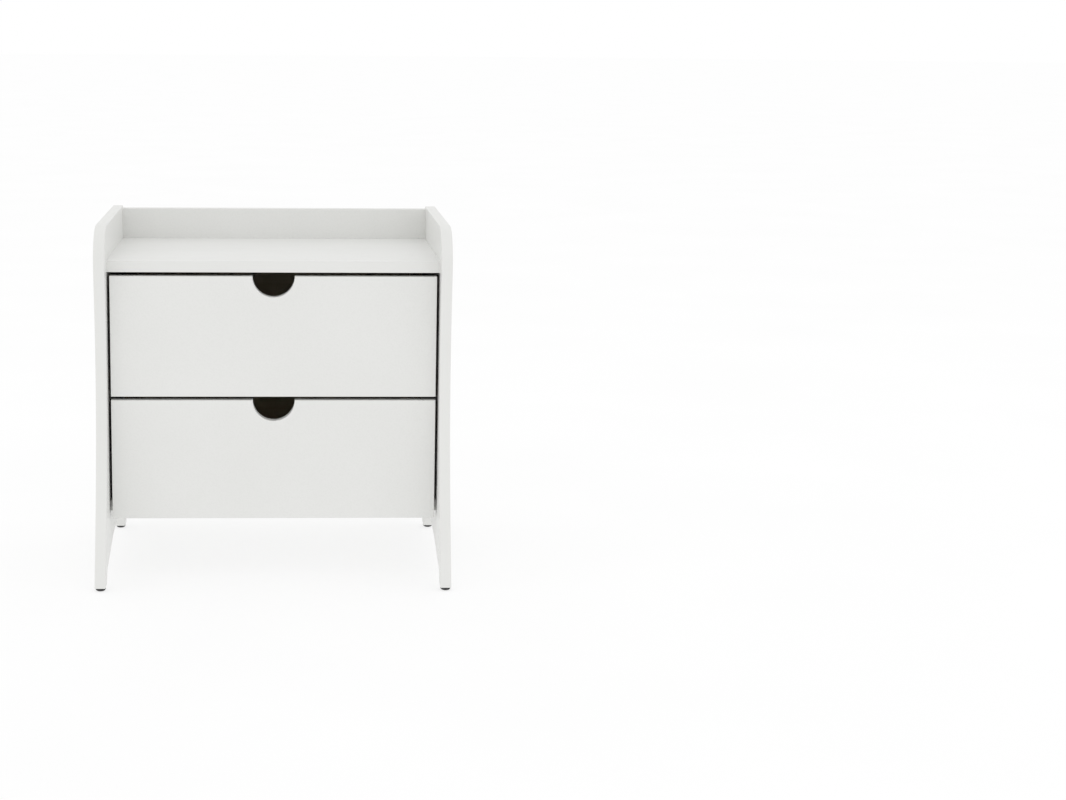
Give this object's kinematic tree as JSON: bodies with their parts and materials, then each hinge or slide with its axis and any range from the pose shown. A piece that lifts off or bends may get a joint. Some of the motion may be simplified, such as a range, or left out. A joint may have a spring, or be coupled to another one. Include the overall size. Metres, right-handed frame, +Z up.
{
  "type": "nightstand with drawers",
  "caption": "Low bedside cabinet: two drawers with half-moon finger cut-outs between two flat side panels that sweep out into feet, with a shallow tray on top.",
  "frame": {"origin": "on the floor, in the middle of the outer box", "axes": "+X to the right when facing the drawers, the drawers open towards -Y, +Z up"},
  "size_m": [0.48, 0.4, 0.484],
  "materials": {
    "white_paint": "satin white lacquer on fibreboard, slightly eased edges",
    "birch_ply": "clear matt lacquer on thin birch plywood",
    "white_hardboard": "white printed face, matt",
    "zinc_steel": "bright zinc plated steel",
    "black_steel": "black electrocoat on folded sheet steel, satin",
    "black_plastic": "moulded, matt black",
    "cam_zinc": "die-cast zinc, dull",
    "beech": "plain turned beech"
  },
  "bodies": {
    "cabinet": {"top_board": "white_paint", "bottom_board": "white_paint", "gallery_rail": "white_paint", "back_panel": "white_hardboard", "side_panel_left": "white_paint", "rail_dowel_left": "beech", "glide_front_left": "black_plastic", "glide_rear_left": "black_plastic", "cam_top_front_left": "cam_zinc", "cam_bolt_top_front_left": "zinc_steel", "cam_bottom_front_left": "cam_zinc", "cam_bolt_bottom_front_left": "zinc_steel", "cam_top_rear_left": "cam_zinc", "cam_bolt_top_rear_left": "zinc_steel", "cam_bottom_rear_left": "cam_zinc", "cam_bolt_bottom_rear_left": "zinc_steel", "slide_outer_upper_left": "black_steel", "slide_outer_lower_left": "black_steel", "side_panel_right": "white_paint", "rail_dowel_right": "beech", "glide_front_right": "black_plastic", "glide_rear_right": "black_plastic", "cam_top_front_right": "cam_zinc", "cam_bolt_top_front_right": "zinc_steel", "cam_bottom_front_right": "cam_zinc", "cam_bolt_bottom_front_right": "zinc_steel", "cam_top_rear_right": "cam_zinc", "cam_bolt_top_rear_right": "zinc_steel", "cam_bottom_rear_right": "cam_zinc", "cam_bolt_bottom_rear_right": "zinc_steel", "slide_outer_upper_right": "black_steel", "slide_outer_lower_right": "black_steel"},
    "drawer_upper": {"drawer_front_upper": "white_paint", "drawer_back_upper": "birch_ply", "drawer_bottom_upper": "birch_ply", "drawer_side_upper_left": "birch_ply", "slide_inner_upper_left": "black_steel", "drawer_side_upper_right": "birch_ply", "slide_inner_upper_right": "black_steel"},
    "drawer_lower": {"drawer_front_lower": "white_paint", "drawer_back_lower": "birch_ply", "drawer_bottom_lower": "birch_ply", "drawer_side_lower_left": "birch_ply", "slide_inner_lower_left": "black_steel", "drawer_side_lower_right": "birch_ply", "slide_inner_lower_right": "black_steel"},
    "middle_upper_left": {"slide_middle_upper_left": "black_steel"},
    "balls_outer_upper_left": {"ball_strip_outer_upper_left": "zinc_steel"},
    "balls_inner_upper_left": {"ball_strip_inner_upper_left": "zinc_steel"},
    "middle_upper_right": {"slide_middle_upper_right": "black_steel"},
    "balls_outer_upper_right": {"ball_strip_outer_upper_right": "zinc_steel"},
    "balls_inner_upper_right": {"ball_strip_inner_upper_right": "zinc_steel"},
    "middle_lower_left": {"slide_middle_lower_left": "black_steel"},
    "balls_outer_lower_left": {"ball_strip_outer_lower_left": "zinc_steel"},
    "balls_inner_lower_left": {"ball_strip_inner_lower_left": "zinc_steel"},
    "middle_lower_right": {"slide_middle_lower_right": "black_steel"},
    "balls_outer_lower_right": {"ball_strip_outer_lower_right": "zinc_steel"},
    "balls_inner_lower_right": {"ball_strip_inner_lower_right": "zinc_steel"}
  },
  "joints": [
    {"name": "drawer_upper_slide", "type": "slide", "parent": "cabinet", "child": "drawer_upper", "axis": [0, -1, 0], "range_m": [0, 0.28]},
    {"name": "drawer_lower_slide", "type": "slide", "parent": "cabinet", "child": "drawer_lower", "axis": [0, -1, 0], "range_m": [0, 0.28]},
    {"name": "middle_upper_left_follow", "type": "slide", "parent": "cabinet", "child": "middle_upper_left", "axis": [0, -1, 0], "range_m": [0, 0.14]},
    {"name": "balls_outer_upper_left_follow", "type": "slide", "parent": "cabinet", "child": "balls_outer_upper_left", "axis": [0, -1, 0], "range_m": [0, 0.07]},
    {"name": "balls_inner_upper_left_follow", "type": "slide", "parent": "cabinet", "child": "balls_inner_upper_left", "axis": [0, -1, 0], "range_m": [0, 0.21]},
    {"name": "middle_upper_right_follow", "type": "slide", "parent": "cabinet", "child": "middle_upper_right", "axis": [0, -1, 0], "range_m": [0, 0.14]},
    {"name": "balls_outer_upper_right_follow", "type": "slide", "parent": "cabinet", "child": "balls_outer_upper_right", "axis": [0, -1, 0], "range_m": [0, 0.07]},
    {"name": "balls_inner_upper_right_follow", "type": "slide", "parent": "cabinet", "child": "balls_inner_upper_right", "axis": [0, -1, 0], "range_m": [0, 0.21]},
    {"name": "middle_lower_left_follow", "type": "slide", "parent": "cabinet", "child": "middle_lower_left", "axis": [0, -1, 0], "range_m": [0, 0.14]},
    {"name": "balls_outer_lower_left_follow", "type": "slide", "parent": "cabinet", "child": "balls_outer_lower_left", "axis": [0, -1, 0], "range_m": [0, 0.07]},
    {"name": "balls_inner_lower_left_follow", "type": "slide", "parent": "cabinet", "child": "balls_inner_lower_left", "axis": [0, -1, 0], "range_m": [0, 0.21]},
    {"name": "middle_lower_right_follow", "type": "slide", "parent": "cabinet", "child": "middle_lower_right", "axis": [0, -1, 0], "range_m": [0, 0.14]},
    {"name": "balls_outer_lower_right_follow", "type": "slide", "parent": "cabinet", "child": "balls_outer_lower_right", "axis": [0, -1, 0], "range_m": [0, 0.07]},
    {"name": "balls_inner_lower_right_follow", "type": "slide", "parent": "cabinet", "child": "balls_inner_lower_right", "axis": [0, -1, 0], "range_m": [0, 0.21]}
  ],
  "couplings": [
    {"joint": "middle_upper_left_follow", "follows": "drawer_upper_slide", "ratio": 0.5},
    {"joint": "balls_outer_upper_left_follow", "follows": "drawer_upper_slide", "ratio": 0.25},
    {"joint": "balls_inner_upper_left_follow", "follows": "drawer_upper_slide", "ratio": 0.75},
    {"joint": "middle_upper_right_follow", "follows": "drawer_upper_slide", "ratio": 0.5},
    {"joint": "balls_outer_upper_right_follow", "follows": "drawer_upper_slide", "ratio": 0.25},
    {"joint": "balls_inner_upper_right_follow", "follows": "drawer_upper_slide", "ratio": 0.75},
    {"joint": "middle_lower_left_follow", "follows": "drawer_lower_slide", "ratio": 0.5},
    {"joint": "balls_outer_lower_left_follow", "follows": "drawer_lower_slide", "ratio": 0.25},
    {"joint": "balls_inner_lower_left_follow", "follows": "drawer_lower_slide", "ratio": 0.75},
    {"joint": "middle_lower_right_follow", "follows": "drawer_lower_slide", "ratio": 0.5},
    {"joint": "balls_outer_lower_right_follow", "follows": "drawer_lower_slide", "ratio": 0.25},
    {"joint": "balls_inner_lower_right_follow", "follows": "drawer_lower_slide", "ratio": 0.75}
  ]
}
